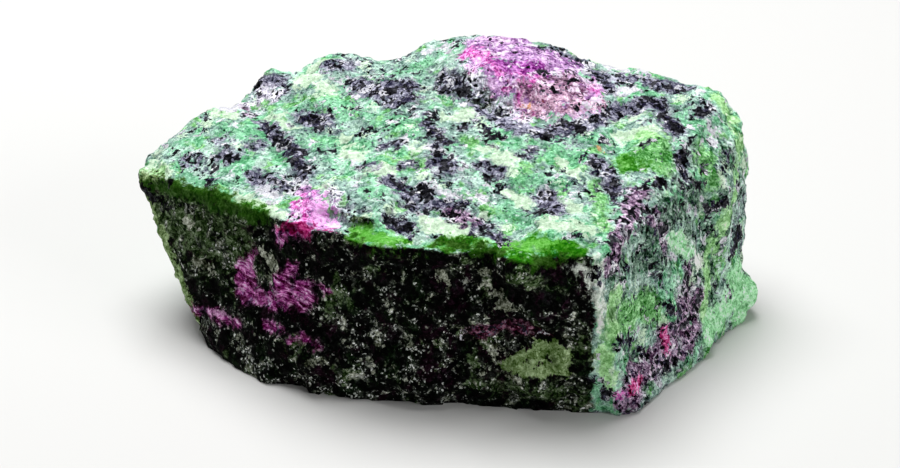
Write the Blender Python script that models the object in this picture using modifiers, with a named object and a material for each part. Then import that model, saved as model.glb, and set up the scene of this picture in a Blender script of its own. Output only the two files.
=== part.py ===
"""A rough block of ruby in fuchsite: one broken stone, resting on its flattest break.

Metres, +Z up. The origin is the centre of the stone's box, at the face that it rests on.
+X runs along the stone towards its blunt end, and +Y from the steep dark front to the back.
The block starts as the flat breaks between its corners. Chips, lumps, grooves and the
faces of its broken crystals are then worked into its skin, and its foot is cut flat.
"""

import bmesh
import bpy
from mathutils import Vector, noise
from mathutils.geometry import intersect_point_line

MM = 0.001

# Driving dimensions of the finished stone.
LENGTH = 84.5 * MM
DEPTH = 49.5 * MM
HEIGHT = 33.7 * MM

# How finely the stone is worked.
SKIN_CELL = 1.0 * MM
SKIN_DEPTH = 7
SKIN_TRIANGLES = 11600
TOUCHING = 0.001 * MM

# What the stone is seen as from a step away: a mid green with a dull, broken surface.
STONE_COLOUR = (0.21, 0.34, 0.24, 1.0)
STONE_ROUGHNESS = 0.55
STONE_METALLIC = 0.0

# The corners where break faces meet, in millimetres, as the block lies before it is fitted.
# The foot's corners lie below Z 0, where the flat that the stone rests on is cut.
FOOT = -2.2
CORNERS = {
    # The ridge between the top and the front, from the sharp left tip to the right corner.
    "tip": (-43.6, 5.9, 20.8),
    "ridge_before_ruby": (-26.5, -7.8, 23.3),
    "ridge_ruby": (-19.7, -14.8, 24.0),
    "ridge_middle": (-11.2, -19.2, 24.0),
    "front_corner": (17.7, -24.1, 24.0),
    # The back of the top, from right to left.
    "back_corner": (37.4, 11.8, 30.0),
    "back_right": (32.2, 15.4, 29.6),
    "summit_right": (9.4, 21.5, 33.7),
    "summit": (0.5, 23.5, 32.4),
    "back_hump": (-17.3, 24.0, 28.9),
    "back_knob": (-26.6, 22.2, 26.9),
    "back_left": (-34.5, 17.0, 23.6),
    "back_tip": (-41.0, 10.0, 21.2),
    # The right-hand corner, which stands nearly upright below a sloping shoulder.
    "end_shoulder": (36.6, 1.2, 24.0),
    "end_upper": (39.3, 8.2, 26.4),
    "end_middle": (40.9, 8.8, 17.0),
    "end_lower": (39.8, 8.4, 5.0),
    # The foot, all round.
    "foot_corner": (21.5, -22.8, FOOT),
    "foot_corner_right": (24.6, -21.2, FOOT),
    "foot_end_back": (40.6, -0.7, FOOT),
    "foot_right_back": (37.0, 12.0, FOOT),
    "foot_back": (12.0, 22.0, FOOT),
    "foot_back_left": (-20.0, 21.0, FOOT),
    "foot_left": (-33.5, 6.0, FOOT),
    "foot_left_front": (-33.8, -7.6, FOOT),
    "foot_front_left": (-26.6, -14.8, FOOT),
    "foot_front": (-13.6, -19.3, FOOT),
    # Bellies that keep the left end and the back from being flat.
    "left_belly": (-41.2, 2.7, 15.5),
    "left_belly_low": (-37.6, 0.0, 6.0),
    "left_back_belly": (-36.0, 15.0, 14.0),
    "back_belly": (-6.0, 25.0, 16.0),
    "back_belly_right": (24.0, 21.0, 14.0),
}

# Scars where a chip came off. The skin inside each ellipsoid is pushed back on to its wall.
# (centre, radii), in millimetres.
SCARS = {
    "back_saddle": ((-9.0, 25.0, 34.8), (5.8, 7.5, 6.2)),
    "knob_notch": ((-21.6, 26.0, 32.0), (2.0, 6.0, 4.5)),
    "left_of_knob": ((-31.0, 25.0, 30.5), (4.5, 9.0, 6.0)),
    "right_of_ruby": ((24.0, 21.0, 36.8), (9.0, 9.0, 6.0)),
    "under_lip": ((-1.0, -29.5, 17.5), (17.0, 9.0, 5.0)),
    "back_scar": ((8.0, 33.0, 18.0), (18.0, 10.0, 10.0)),
    "left_back_scar": ((-38.0, 22.0, 6.0), (14.0, 9.0, 10.0)),
}

# Lumps that stand proud: (centre, radii, height), in millimetres.
LUMPS = {
    "grey_knob": ((-25.4, 22.0, 26.5), (3.6, 5.0, 4.5), 1.5),
    "green_hump": ((-16.0, 22.5, 29.0), (6.0, 6.0, 4.0), 0.8),
    "ruby_mound": ((10.0, 14.5, 31.5), (14.0, 11.0, 6.0), 1.6),
    "edge_ruby": ((-17.0, -17.5, 23.0), (4.2, 4.5, 4.5), 2.6),
    "lip_left": ((-9.0, -20.5, 22.8), (4.0, 3.5, 2.6), 1.8),
    "lip_middle": ((-1.0, -21.0, 22.8), (5.0, 3.5, 2.6), 2.0),
    "lip_right": ((8.5, -22.8, 22.2), (4.5, 3.5, 2.8), 2.3),
    "apple_crystal": ((10.0, -22.0, 5.0), (5.0, 3.5, 4.0), 2.2),
    "front_foot": ((-3.0, -20.0, 3.0), (8.0, 4.0, 4.0), 1.2),
    "front_shelf": ((-20.0, -17.0, 5.0), (8.0, 5.0, 4.0), 1.3),
    "front_knob": ((3.0, -22.0, 15.0), (6.0, 4.0, 3.5), 1.0),
    "corner_crystal": ((26.0, -1.5, 27.0), (3.5, 4.0, 3.5), 1.3),
    "end_rib": ((35.6, -0.5, 13.0), (3.0, 4.5, 15.0), 1.5),
    "end_knob": ((41.0, 3.0, 2.5), (3.8, 5.0, 4.0), 2.9),
}

# Grooves worn along softer bands: (start, end, reach, depth), in millimetres.
GROOVES = {
    "dark_streak": ((-27.0, 15.0, 26.5), (-20.5, -7.0, 25.0), 2.2, 0.7),
    "below_ruby_left": ((3.0, 9.0, 31.0), (11.5, 3.4, 28.5), 3.4, 0.6),
    "below_ruby_right": ((11.5, 3.4, 28.5), (23.0, 7.0, 29.5), 3.4, 0.6),
    "end_crease_high": ((33.0, -3.5, 17.0), (31.4, -8.0, 7.5), 2.4, 0.9),
    "end_crease_low": ((31.4, -8.0, 7.5), (27.0, -15.0, 1.0), 2.4, 0.9),
    "front_bench": ((-22.0, -14.0, 11.0), (-4.0, -20.0, 10.0), 3.0, 0.8),
    "front_bench_right": ((-4.0, -20.0, 10.0), (16.0, -23.5, 11.5), 3.0, 0.6),
    "left_bench": ((-41.0, 1.5, 19.0), (-28.0, -8.5, 18.0), 2.4, 0.6),
}

# The faces of the broken crystals, in two sizes: (size and step in millimetres, tilt).
CLEAVAGE = {"coarse": (9.0, 0.60, 0.14), "fine": (4.0, 0.32, 0.12)}
GRAIN_STRETCH = Vector((1.0, 1.3, 1.5))
GRAIN_WARP = 0.25
WARP_RATE = 1.7
WARP_SHIFTS = (Vector((0, 0, 0)), Vector((17.3, 5.1, 0)), Vector((0, 31.7, 11.9)))
LEAN_SHUFFLE = 7.3
STEP_SHUFFLE = Vector((3.1, 3.7, 4.3))

# The slow swell of a broken face, in millimetres.
SWELL_SIZE = 14.0
SWELL_HEIGHT = 0.55
SWELL_ROUGHNESS = 0.8
SWELL_LACUNARITY = 2.0
SWELL_OCTAVES = 3


def stone_material():
    material = bpy.data.materials.new("ruby_in_fuchsite")
    material.use_nodes = True
    finish = material.node_tree.nodes["Principled BSDF"].inputs
    finish["Base Color"].default_value = STONE_COLOUR
    finish["Roughness"].default_value = STONE_ROUGHNESS
    finish["Metallic"].default_value = STONE_METALLIC
    return material


def broken_block():
    """The block as its flat breaks alone make it: the hull of its corners."""
    mesh = bmesh.new()
    for corner in CORNERS.values():
        mesh.verts.new(Vector(corner) * MM)
    hull = bmesh.ops.convex_hull(mesh, input=mesh.verts)
    bmesh.ops.delete(mesh, geom=hull["geom_interior"], context="VERTS")
    block = bpy.data.meshes.new("stone")
    mesh.to_mesh(block)
    mesh.free()
    return block


def apply_modifiers(stone):
    graph = bpy.context.evaluated_depsgraph_get()
    finished = bpy.data.meshes.new_from_object(stone.evaluated_get(graph))
    stone.modifiers.clear()
    stone.data = finished


def even_skin(stone):
    """Gives the block an even skin of small faces, which the relief can be worked into."""
    remesh = stone.modifiers.new("even_skin", "REMESH")
    remesh.mode = "SHARP"
    remesh.octree_depth = SKIN_DEPTH
    remesh.scale = max(stone.dimensions) / (SKIN_CELL * 2**SKIN_DEPTH)
    remesh.use_remove_disconnected = False
    apply_modifiers(stone)


def within(point, centre, radii):
    """The place of a point in an ellipsoid, as a vector that is 1 long on its wall."""
    return Vector((p - c * MM) / (r * MM) for p, c, r in zip(point, centre, radii))


def chipped(point):
    """The point, moved out to the wall of any scar that it lies in."""
    for centre, radii in SCARS.values():
        place = within(point, centre, radii)
        if 0 < place.length < 1:
            place.normalize()
            point = Vector((c + r * w) * MM for c, r, w in zip(centre, radii, place))
    return point


def fade(reach):
    """1 in the middle of a lump or a groove, falling smoothly to 0 at its rim."""
    return (1 - min(reach, 1) ** 2) ** 2


def lump_height(point):
    return sum(
        height * MM * fade(within(point, centre, radii).length)
        for centre, radii, height in LUMPS.values()
    )


def groove_depth(point):
    deepest = 0
    for start, end, reach, depth in GROOVES.values():
        start, end = Vector(start) * MM, Vector(end) * MM
        share = intersect_point_line(point, start, end)[1]
        nearest = start.lerp(end, min(max(share, 0), 1))
        away = (point - nearest).length / (reach * MM)
        deepest = max(deepest, depth * MM * fade(away))
    return deepest


def cleavage_height(point):
    """Each crystal breaks on a face of its own, tilted a little and a step up or down."""
    height = 0
    for size, step, tilt in CLEAVAGE.values():
        place = Vector(p / (s * size * MM) for p, s in zip(point, GRAIN_STRETCH))
        place += GRAIN_WARP * Vector(noise.noise(place * WARP_RATE + s) for s in WARP_SHIFTS)
        crystal = noise.voronoi(place)[1][0]
        lean = noise.cell_vector(crystal * LEAN_SHUFFLE) - Vector((0.5, 0.5, 0.5))
        height += size * MM * tilt * lean.dot(place - crystal)
        height += step * MM * (noise.cell(crystal * STEP_SHUFFLE) - 0.5)
    return height


def swell_height(point):
    place = point / (SWELL_SIZE * MM)
    swell = noise.fractal(place, SWELL_ROUGHNESS, SWELL_LACUNARITY, SWELL_OCTAVES)
    return SWELL_HEIGHT * MM * swell


def skin_height(point):
    relief = cleavage_height(point) + swell_height(point)
    return relief + lump_height(point) - groove_depth(point)


def work_relief(stone):
    """Chips the skin, then raises or lowers each point of it along its normal."""
    mesh = stone.data
    for vertex in mesh.vertices:
        vertex.co = chipped(vertex.co)
    mesh.update()
    moves = [vertex.normal * skin_height(vertex.co) for vertex in mesh.vertices]
    for vertex, move in zip(mesh.vertices, moves):
        vertex.co += move
    mesh.update()


def thin_out(stone):
    """Leaves fewer, larger faces where the skin is flat."""
    triangles = sum(len(face.vertices) - 2 for face in stone.data.polygons)
    decimate = stone.modifiers.new("thin_out", "DECIMATE")
    decimate.ratio = SKIN_TRIANGLES / triangles
    apply_modifiers(stone)


def cut_foot(stone):
    """Cuts the foot off flat at Z 0, which is the face that the stone rests on."""
    mesh = bmesh.new()
    mesh.from_mesh(stone.data)
    cut = bmesh.ops.bisect_plane(
        mesh,
        geom=mesh.verts[:] + mesh.edges[:] + mesh.faces[:],
        dist=TOUCHING,
        plane_co=(0, 0, 0),
        plane_no=(0, 0, -1),
        clear_outer=True,
    )
    rim = [part for part in cut["geom_cut"] if isinstance(part, bmesh.types.BMEdge)]
    bmesh.ops.holes_fill(mesh, edges=rim)
    mesh.to_mesh(stone.data)
    mesh.free()


def fit_to_size(stone):
    """Brings the stone to its driving dimensions, centred, with its foot at Z 0."""
    points = [vertex.co for vertex in stone.data.vertices]
    low = Vector(map(min, zip(*points)))
    high = Vector(map(max, zip(*points)))
    middle = Vector(((low.x + high.x) / 2, (low.y + high.y) / 2, low.z))
    share = [wanted / (b - a) for wanted, a, b in zip((LENGTH, DEPTH, HEIGHT), low, high)]
    for vertex in stone.data.vertices:
        vertex.co = (vertex.co - middle) * Vector(share)
    stone.data.update()


def main():
    for old in list(bpy.data.objects):
        bpy.data.objects.remove(old)
    stone = bpy.data.objects.new("stone", broken_block())
    bpy.context.scene.collection.objects.link(stone)
    even_skin(stone)
    work_relief(stone)
    thin_out(stone)
    cut_foot(stone)
    fit_to_size(stone)
    stone.data.materials.append(stone_material())


main()
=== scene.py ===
# %% [markdown]
# # Ruby in fuchsite: a rough block of stone
# The stone is a broken lump of green mica rock. White flakes, black amphibole grains and
# patches of pink ruby run through it, and every side is a break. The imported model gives
# its solid, which is good for its size and its weight but is too plain to look at. This
# notebook grows a fine skin over that solid, places the minerals in the skin, and gives
# them their colours.

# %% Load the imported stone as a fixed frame
import math

import bpy
import numpy as np
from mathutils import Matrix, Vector


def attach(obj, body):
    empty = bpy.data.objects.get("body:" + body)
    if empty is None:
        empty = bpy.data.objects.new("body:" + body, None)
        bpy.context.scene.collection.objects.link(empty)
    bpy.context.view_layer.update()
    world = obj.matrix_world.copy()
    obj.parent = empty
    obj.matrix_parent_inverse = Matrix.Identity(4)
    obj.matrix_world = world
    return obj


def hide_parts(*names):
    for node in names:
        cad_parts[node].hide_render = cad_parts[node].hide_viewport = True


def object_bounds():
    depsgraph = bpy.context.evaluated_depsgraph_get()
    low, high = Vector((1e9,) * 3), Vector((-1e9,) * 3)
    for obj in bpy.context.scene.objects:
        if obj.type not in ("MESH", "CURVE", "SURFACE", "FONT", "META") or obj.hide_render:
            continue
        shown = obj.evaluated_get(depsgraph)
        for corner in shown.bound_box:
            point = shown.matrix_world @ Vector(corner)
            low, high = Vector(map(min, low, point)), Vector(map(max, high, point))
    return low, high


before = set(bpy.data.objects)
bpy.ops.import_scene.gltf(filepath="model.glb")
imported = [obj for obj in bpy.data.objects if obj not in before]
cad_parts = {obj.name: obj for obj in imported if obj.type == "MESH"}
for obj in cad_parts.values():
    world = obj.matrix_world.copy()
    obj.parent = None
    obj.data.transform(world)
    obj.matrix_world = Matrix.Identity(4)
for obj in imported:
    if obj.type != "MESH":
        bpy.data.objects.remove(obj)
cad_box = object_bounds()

MM = 0.001
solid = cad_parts["stone"]
low_corner, high_corner = (np.array(corner) / MM for corner in cad_box)
print("The solid's box, in millimetres:", low_corner.round(2), high_corner.round(2))

# %% [markdown]
# ## The camera
# The stone is seen from a little above, so that its bright top and its dark front both
# show. A long lens keeps its edges straight. The camera's place is worked out from the
# angle, the distance and the point that it looks at, which is clearer than typing in a
# rotation.

# %% Place the camera
CAMERA_ELEVATION = 30.0
CAMERA_DISTANCE = 0.330
LOOK_AT = Vector((0.0, -0.0049, 0.0170))
LENS = 100.0
SENSOR = 36.0
NEAREST_SEEN = 0.01


def add_camera():
    """The camera stands at LOOK_AT + distance * (0, -cos elevation, sin elevation)."""
    elevation = math.radians(CAMERA_ELEVATION)
    back = Vector((0, -math.cos(elevation), math.sin(elevation)))
    lens = bpy.data.cameras.new("camera")
    lens.lens = LENS
    lens.sensor_width = SENSOR
    lens.clip_start = NEAREST_SEEN
    camera = bpy.data.objects.new("camera", lens)
    camera.location = LOOK_AT + back * CAMERA_DISTANCE
    camera.rotation_euler = back.to_track_quat("Z", "Y").to_euler()
    bpy.context.scene.collection.objects.link(camera)
    bpy.context.scene.camera = camera
    print("The camera stands at", [round(x, 4) for x in camera.location])


add_camera()

# %% [markdown]
# ## Random numbers that stay put
# Rock is irregular, but the script must give the same stone each time. So each random
# number is worked out from the whole-numbered cell of space that it belongs to. The cell's
# numbers are mixed up until they look random, and the same cell always gives the same
# result. All points are done at once, as arrays.

# %% Random numbers from cells of space
MIXERS = (0x9E3779B1, 0x85EBCA77, 0xC2B2AE3D)
SALT_MIXER = 0x27D4EB2F
WORD = 2**32
SHIFT, NEXT_SHIFT = np.uint32(15), np.uint32(13)


def scatter(cells, salt):
    """Three numbers from 0 to 1 for each cell. The cell's X, Y and Z are each multiplied
    by a large odd number and joined by exclusive-or, then stirred three times."""
    whole = cells.astype(np.int64)
    mixed = np.full(whole.shape[:-1], (salt + 1) * SALT_MIXER % WORD, np.uint32)
    for axis, mixer in enumerate(MIXERS):
        mixed ^= (whole[..., axis] * mixer % WORD).astype(np.uint32)
    numbers = []
    for mixer in MIXERS:
        mixed ^= mixed >> SHIFT
        mixed *= np.uint32(mixer)
        mixed ^= mixed >> NEXT_SHIFT
        numbers.append(mixed / WORD)
    return np.stack(numbers, -1)


print("The cell (1, 2, 3) always gives", scatter(np.array([[1, 2, 3]]), 0).round(3))

# %% [markdown]
# Two kinds of pattern come from those numbers. Smooth noise blends the numbers at a cell's
# eight corners, and gives swells. Crystals give each point to its nearest seed, as grains
# that grow until they touch do, so that the grains meet in flat walls.

# %% Smooth noise and crystals
def smooth_noise(points, salt=0):
    """Three numbers from -1 to 1 at each point: the numbers of the eight corners of its
    cell, blended by s * s * (3 - 2 * s), where s is its share of the way across."""
    corner_cell = np.floor(points)
    share = points - corner_cell
    share = share * share * (3 - 2 * share)
    total = np.zeros(points.shape)
    for corner in np.ndindex(2, 2, 2):
        weight = np.where(corner, share, 1 - share).prod(-1, keepdims=True)
        total += weight * scatter(corner_cell + corner, salt)
    return 2 * total - 1


def crystals(points, salt=0):
    """For each point: the way from its nearest seed, and that seed's three traits. Each
    cell of space holds one seed, at its corner plus three random numbers."""
    home = np.floor(points)
    nearest = np.full(len(points), np.inf)
    away = np.zeros(points.shape)
    traits = np.zeros(points.shape)
    for step in np.ndindex(3, 3, 3):
        cell = home + step - 1
        here = points - cell - scatter(cell, salt)
        far = np.sqrt((here**2).sum(-1))
        closer = far < nearest
        nearest = np.where(closer, far, nearest)
        away[closer] = here[closer]
        traits[closer] = scatter(cell[closer], salt + 1)
    return away, traits


trial = np.array([[0.5, 1.5, 2.5]])
print("At one point, the noise is", smooth_noise(trial).round(3))
print("and the way from the nearest seed is", crystals(trial)[0].round(3))

# %% [markdown]
# ## The skin
# The stone's surface could be one grid wrapped round it like a map, but the squares of a
# map crowd at its poles. So the skin starts as the skin of a box that is cut into small
# squares, like a box made of graph paper. It has no pole, and a box suits a blocky stone:
# each of its sides becomes about one break.

# %% Squares on the skin of a box
SQUARES = (192, 112, 90)


def box_skin(counts):
    """Points (i / a, j / b, k / c) of a box, where at least one of i, j and k is at an
    end, and the four corners of each square, in order round it."""
    lattice = np.full([count + 1 for count in counts], -1)
    on_skin = np.ones(lattice.shape, bool)
    on_skin[1:-1, 1:-1, 1:-1] = False
    lattice[on_skin] = np.arange(on_skin.sum())
    points = np.argwhere(on_skin) / counts
    squares = []
    for axis in range(3):
        for end in (0, -1):
            side = np.take(lattice, end, axis)
            ring = [side[:-1, :-1], side[1:, :-1], side[1:, 1:], side[:-1, 1:]]
            turned = (axis == 1) == (end == -1)
            squares.append(np.stack(ring[::-1] if turned else ring, -1).reshape(-1, 4))
    return points, np.concatenate(squares)


box_points, squares = box_skin(SQUARES)
print(f"The skin has {len(box_points)} points and {len(squares)} squares")

# %% [markdown]
# The box is blown up to a ball round the solid. The Shrinkwrap modifier then draws each
# point of the ball straight in until it meets the solid, as plastic film shrinks on to
# food. That keeps the squares in order and gives every point a place on the real shape.

# %% Draw the ball in on to the solid
BALL_RADIUS = 62.0
MIDDLE = np.array((0.0, 0.0, 14.0))
MISSED = 0.99 * BALL_RADIUS


def new_mesh(name, points, faces):
    """A mesh object from arrays, in millimetres, with its place in its mesh."""
    mesh = bpy.data.meshes.new(name)
    mesh.from_pydata(points * MM, [], faces)
    mesh.update()
    made = bpy.data.objects.new(name, mesh)
    bpy.context.scene.collection.objects.link(made)
    return made


def read_points(mesh):
    """A mesh's points as one array, in millimetres."""
    flat = np.empty(len(mesh.vertices) * 3)
    mesh.vertices.foreach_get("co", flat)
    return flat.reshape(-1, 3) / MM


def drawn_in():
    """Each point goes out from the middle to a ball, in the direction that it has on a box
    of the solid's size, and then straight in to the first face of the solid that it meets."""
    directions = low_corner + box_points * (high_corner - low_corner) - MIDDLE
    directions /= np.linalg.norm(directions, axis=1, keepdims=True)
    ball = new_mesh("ball", MIDDLE + directions * BALL_RADIUS, squares)
    wrap = ball.modifiers.new("draw_in", "SHRINKWRAP")
    wrap.target = solid
    wrap.wrap_method = "PROJECT"
    wrap.use_positive_direction = False
    wrap.use_negative_direction = True
    graph = bpy.context.evaluated_depsgraph_get()
    drawn = read_points(ball.evaluated_get(graph).data)
    bpy.data.objects.remove(ball)
    return drawn


skin_points = drawn_in()
reach = np.linalg.norm(skin_points - MIDDLE, axis=1)
print("Points that met no face:", int((reach > MISSED).sum()))

# %% [markdown]
# The solid's faces are about a millimetre across, which would show as a pattern of small
# flats. Moving each point a little towards the middle of its neighbours wears the flats
# away and leaves the lumps and ledges. Done many more times on a copy, it leaves only the
# stone's main sides. The copy's normals then say which side a point is on, and that is
# used below to put the dark minerals on the front.

# %% Even out the skin
SKIN_PASSES = 3
SIDE_PASSES = 60


def evened(points, passes):
    """Each pass moves a point half way to the mean of its neighbours. The squares go round
    the same way, so the pairs from corner to next corner name each neighbour once."""
    near, far = squares.ravel(), np.roll(squares, -1, axis=1).ravel()
    count = np.bincount(near)
    for _ in range(passes):
        total = [np.bincount(near, points[far, axis]) for axis in range(3)]
        points = (points + np.stack(total, -1) / count[:, None]) / 2
    return points


def normals_of(points):
    """A square's normal is the cross product of its diagonals. A point's normal is the
    sum of its squares' normals, made one long."""
    across = points[squares[:, 2]] - points[squares[:, 0]]
    back = points[squares[:, 3]] - points[squares[:, 1]]
    face = np.cross(across, back)
    total = [np.bincount(squares.ravel(), np.repeat(face[:, axis], 4)) for axis in range(3)]
    normal = np.stack(total, -1)
    return normal / np.linalg.norm(normal, axis=1, keepdims=True)


body = evened(skin_points, SKIN_PASSES)
side_normal = normals_of(evened(skin_points, SIDE_PASSES))
print("The evened skin spans", np.ptp(body, axis=0).round(2), "mm")

# %% [markdown]
# ## Where the minerals lie
# A mineral patch is a streak: a line through points of the stone, with a half width. How
# deep a point of the skin lies in a streak is the half width less its distance from the
# line. Several streaks together make a patch of any outline, and bending space with noise
# first makes the outline ragged. The depths are kept on the mesh as attributes, so that
# the material can blend its colours along them.

# %% Depth in a set of streaks
BEND_SIZE = 2.2
BEND = 0.45
FINE_BEND = 0.6 * BEND
FINE_BEND_SIZE = BEND_SIZE / 2.3
NOWHERE = -9.0
bent = body + BEND * smooth_noise(body / BEND_SIZE, salt=11)
bent += FINE_BEND * smooth_noise(body / FINE_BEND_SIZE, salt=12)
fields = {}


def depth_in(streaks):
    """For each point, the half width of a streak less the distance to its line, in
    millimetres, for the streak where that is most."""
    deepest = np.full(len(bent), NOWHERE)
    for half_width, *stops in streaks:
        for start, end in zip(stops, stops[1:]):
            start, along = np.array(start), np.array(end) - start
            share = np.clip((bent - start) @ along / (along**2).sum(), 0, 1)[:, None]
            far = np.linalg.norm(bent - start - share * along, axis=1)
            deepest = np.maximum(deepest, half_width - far)
    return deepest


def lay(name, *streaks):
    """Adds streaks to the field of a mineral: each point keeps the deeper of the two."""
    fields[name] = np.maximum(fields.get(name, NOWHERE), depth_in(streaks))
    print(f"{name}: {(fields[name] > 0).mean():.1%} of the skin")


print(f"Space is bent by up to {np.abs(bent - body).max():.2f} mm")

# %% [markdown]
# On the top, the front and the blunt end the streaks are placed one by one. On the back
# and the underside that would be much work for little, so clots are strewn there over the
# crystals of a coarse pattern. Two minerals that share a salt share their clots, one
# inside the other.

# %% Clots for the back
CLOT_SHAPE = np.array((1.5, 1.0, 0.9))
BACK_WAY = np.array((0.0, 0.85, -0.5))
BACK_SHARPNESS = 6.0


def scatter_on_back(name, size, share, radius, salt):
    """Adds clots to a field, on the back and the underside only. A crystal's clot is as
    deep as its radius, times 1 to 2, less the distance from its seed."""
    away, traits = crystals(bent / (size * CLOT_SHAPE), salt)
    far = size * np.linalg.norm(away, axis=1)
    depth = np.where(traits[:, 0] < share, radius * (1 + traits[:, 1]) - far, NOWHERE)
    on_back = BACK_SHARPNESS * (side_normal @ BACK_WAY)
    fields[name] = np.maximum(fields[name], np.minimum(depth, on_back))
    print(f"With its clots on the back, {name}: {(fields[name] > 0).mean():.1%} of the skin")


# %% [markdown]
# The largest ruby lies at the summit. It is bright pink at its left and purple in places,
# and turns dusty and salmon below, where it is mixed with mica. Each tint has a field of
# its own inside the ruby. A few small grains below it are rusty.

# %% Ruby at the summit
lay(
    "ruby",
    (2, (3, 17, 32.8), (7, 16.5, 33.5)),
    (2, (4, 19.8, 33.2), (9.5, 20.3, 33)),
    (2.1, (3.8, 14, 32.8), (8, 12, 32)),
    (3, (7, 16.5, 33.5), (15, 15, 32.5)),
    (3, (7.5, 11, 32), (18, 10.5, 31)),
    (2.6, (10.5, 8.5, 30.5), (18.5, 8.3, 30.5)),
    (1.8, (10.5, 7, 29.5), (16.8, 6, 30.1)),
)
lay(
    "pink",
    (1.4, (2.6, 17, 32.8), (4.2, 15, 33.3)),
    (1, (4.2, 15, 33.3), (6.6, 12, 32.6)),
    (0.7, (9.5, 10.8, 32.2), (11.5, 11, 32.3)),
    (0.6, (19, 10.2, 30.6), (19.8, 9.8, 30.5)),
)
lay(
    "purple",
    (1.2, (9.3, 12.3, 32.8), (12, 12.6, 32.8)),
    (0.7, (6.3, 13.6, 33), (7.8, 12.6, 32.8)),
)
lay("dusty", (2.6, (11, 9.5, 31.3), (16.5, 9.8, 30.9)))
lay(
    "salmon",
    (1.8, (11, 6.6, 29.6), (16.5, 6.6, 30.2)),
    (1.2, (16.5, 7, 30.3), (20.5, 8.3, 30.2)),
)
lay(
    "rust",
    (0.5, (10.5, 7, 29.8), (11, 7.2, 29.9)),
    (0.5, (20, -1, 28), (20.5, -1.2, 28)),
    (0.3, (27, -4.5, 27), (27.3, -4.6, 27)),
)

# %% [markdown]
# A second ruby stands out of the front edge as a small lump. At its right it has a pale
# pink glow, which is painted light standing in for light that comes through it, and it is
# deep wine red at its foot. Below it, on the dark front, ruby makes a butterfly of two
# wings, and thin lenses near the foot, one with a pale thread. The blunt end has two small
# crimson grains.

# %% Ruby on the front edge, the dark front and the blunt end
lay(
    "ruby",
    (1.5, (-19, -6.8, 24.4), (-18, -8.6, 24.9)),
    (2.2, (-18.6, -11, 24.2), (-16.6, -11.7, 23.8)),
    (1.8, (-19.3, -14.2, 23.2), (-15.4, -13.6, 23)),
    (1.1, (-19.5, -14.3, 22.7), (-15.2, -15.7, 23.3)),
    (0.7, (-22.4, -13.2, 21), (-19.3, -14.6, 22.3), (-16, -15.6, 22.9)),
)
lay(
    "pink",
    (1.3, (-18.8, -9.5, 24.6), (-18.3, -12.5, 24)),
    (0.7, (-18.5, -14.3, 22.9), (-16, -14.6, 22.9)),
)
# Painted light: the pale glow at the right of the ruby lump.
lay("glow", (1.6, (-16.4, -10.5, 24.2), (-15.4, -13.8, 23.4)))
lay(
    "wine",
    (1.1, (-21.3, -13.6, 23.2), (-18.3, -14.4, 22.8)),
    (0.7, (-18.4, -15.2, 22.8), (-15.2, -16, 23.3)),
)
lay(
    "ruby",
    (0.9, (-25.4, -9.8, 17.2), (-26.4, -8.6, 13.7)),
    (1.7, (-26.7, -8.4, 13), (-26.6, -9.2, 10.6)),
    (1.1, (-27.5, -8.5, 10), (-22.5, -12.8, 10.8)),
    (1, (-20.3, -14.4, 17.2), (-21.5, -13.5, 14.5)),
    (1.7, (-21, -14, 14), (-18.8, -14.9, 13.6)),
    (1.1, (-22.5, -13, 11.8), (-18.5, -15, 12.2)),
    (0.4, (-18.5, -15.2, 15), (-15.5, -16.2, 15)),
    (0.5, (-35, -3.5, 3.8), (-33, -5.3, 4.9)),
    (0.6, (-33, -5.5, 5.2), (-27.5, -10.2, 6.2)),
    (0.7, (-24, -13, 7.5), (-22, -14.5, 8)),
    (0.5, (-20.5, -16, 7.5), (-17, -17.5, 7.5)),
)
lay("thread", (0.3, (-34.2, -4.6, 4.4), (-31, -7.4, 5.9), (-28.5, -9.6, 6.9)))
lay(
    "ruby",
    (0.5, (28.3, -13.7, 7.2), (28.4, -14.5, 4)),
    (0.8, (25, -20, 3.6), (22.2, -22.4, 2.9)),
)
lay(
    "pink",
    (0.5, (28.3, -13.7, 7.2), (28.4, -14.5, 4)),
    (0.5, (25, -20, 3.6), (22.2, -22.4, 2.9)),
)

# %% [markdown]
# Where ruby, amphibole and mica are ground together they look like dark lilac sugar. That
# makes two upright bands on the blunt end, a dull seam on the front and two small lenses
# on the top.

# %% The lilac mixture
lay(
    "lilac",
    (1.5, (24, -9.5, 25.5), (23, -14, 25), (21.5, -19, 24)),
    (1.4, (22.3, -15.3, 25), (21.2, -19.6, 24.6), (20.4, -21.5, 22.5), (20.2, -21.7, 21.2)),
    (1.6, (31.8, -8.5, 9), (30.6, -10.9, 5.8), (28.5, -13.5, 6.5)),
    (1.2, (26, -12.5, 23.5), (28, -10, 18)),
    (1, (31.5, -7.5, 13.5), (31.5, -7.5, 9.5), (29.5, -12, 8.5)),
    (1.3, (33, -6.5, 8), (32.5, -9.5, 5.5), (30.5, -12, 4)),
    (2.2, (30.5, -12, 4), (27, -15.5, 4), (24, -21, 4.5), (23, -22, 2)),
)
lay(
    "lilac",
    (0.9, (2.5, -20, 11), (6.5, -21, 12), (11.5, -21.2, 11.8)),
    (0.6, (3.7, -20.7, 12.2), (8.8, -21, 13.1), (12, -20.9, 11.8)),
)
lay("lilac", (1.3, (0.7, -13.5, 25), (2.5, -14.8, 24.8)), (0.8, (-28.5, 16, 25), (-27, 14, 25)))

# %% [markdown]
# Without the ruby the mixture is smoke grey. It fills a trough round the foot of the
# summit and lies in patches over the top, and most patches have black amphibole at their
# heart. Ash is the same mixture with more white in it. It lies along the upper bank of the
# trough, on a knob at the left, and beside the lump of ruby.

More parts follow.
